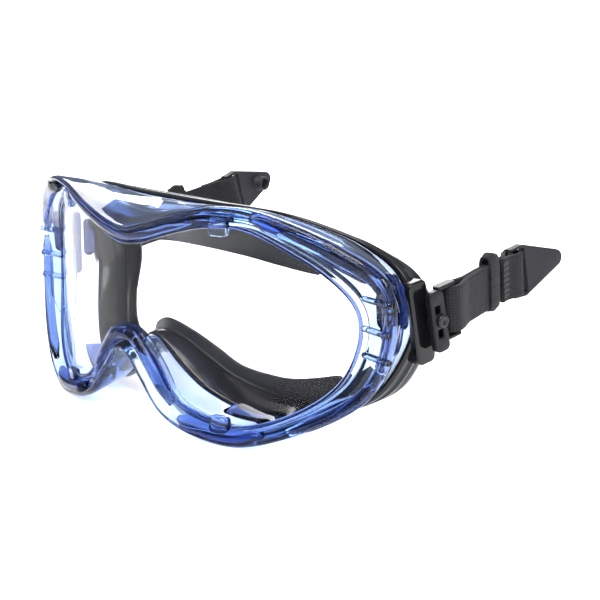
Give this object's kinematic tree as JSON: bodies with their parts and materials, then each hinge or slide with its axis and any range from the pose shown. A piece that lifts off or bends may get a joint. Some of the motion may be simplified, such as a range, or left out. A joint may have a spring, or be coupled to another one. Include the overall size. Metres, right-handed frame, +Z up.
{
  "type": "safety goggles",
  "caption": "Wide-view safety goggles: clear blue-tinted frame, curved clear lens, black rear ring with soft face seal, swivel brackets and short straps with end clips.",
  "frame": {"origin": "under the middle of the whole object's box, on the surface it stands on", "axes": "+X to the wearer's left, +Y back towards the face, +Z up"},
  "size_m": [0.1728, 0.112, 0.0681],
  "materials": {
    "clear_frame": "clear blue-tinted moulding",
    "clear_lens": "clear and polished",
    "gloss_black": "glossy",
    "soft_seal": "matte, soft",
    "vent_baffle": "clear dark blue",
    "satin_black": "satin",
    "pin_black": "satin",
    "webbing": "woven",
    "thread": "thread",
    "clip_plastic": "fine matte texture"
  },
  "bodies": {
    "goggle": {"frame_body": "clear_frame", "lens": "clear_lens", "rear_frame": "gloss_black", "face_seal": "soft_seal", "top_vent_left": "vent_baffle", "top_vent_right": "vent_baffle", "bottom_vent_left": "vent_baffle", "bottom_vent_right": "vent_baffle", "pivot_pin_left": "pin_black", "pivot_pin_right": "pin_black"},
    "bracket_left": {"bracket_left": "satin_black"},
    "bracket_right": {"bracket_right": "satin_black"},
    "strap_left": {"strap_left": "webbing", "strap_keeper_left": "webbing", "stitching_left": "thread"},
    "strap_right": {"strap_right": "webbing", "strap_keeper_right": "webbing", "stitching_right": "thread"},
    "clip_left": {"clip_left": "clip_plastic", "clip_stud_left": "clip_plastic"},
    "clip_right": {"clip_right": "clip_plastic", "clip_stud_right": "clip_plastic"}
  },
  "joints": [
    {"name": "bracket_swivel_left", "type": "hinge", "parent": "goggle", "child": "bracket_left", "pos_m": [0.082, -0.006, 0.0372], "axis": [1, 0, 0], "range_deg": [-20, 20]},
    {"name": "strap_swing_left", "type": "hinge", "parent": "bracket_left", "child": "strap_left", "pos_m": [0.0805, -0.00015, 0.03998], "axis": [0, -0.2079, 0.9781], "range_deg": [-30, 20]},
    {"name": "clip_swing_left", "type": "hinge", "parent": "strap_left", "child": "clip_left", "pos_m": [0.06929, 0.03653, 0.04333], "axis": [-0.0061, -0.1735, 0.9848], "range_deg": [-35, 35]},
    {"name": "bracket_swivel_right", "type": "hinge", "parent": "goggle", "child": "bracket_right", "pos_m": [-0.082, -0.006, 0.0372], "axis": [1, 0, 0], "range_deg": [-20, 20]},
    {"name": "strap_swing_right", "type": "hinge", "parent": "bracket_right", "child": "strap_right", "pos_m": [-0.0805, -0.00047, 0.04057], "axis": [0, 0.309, -0.9511], "range_deg": [-30, 20]},
    {"name": "clip_swing_right", "type": "hinge", "parent": "strap_right", "child": "clip_right", "pos_m": [-0.06556, 0.03652, 0.05201], "axis": [-0.0271, 0.2574, -0.9659], "range_deg": [-35, 35]}
  ]
}
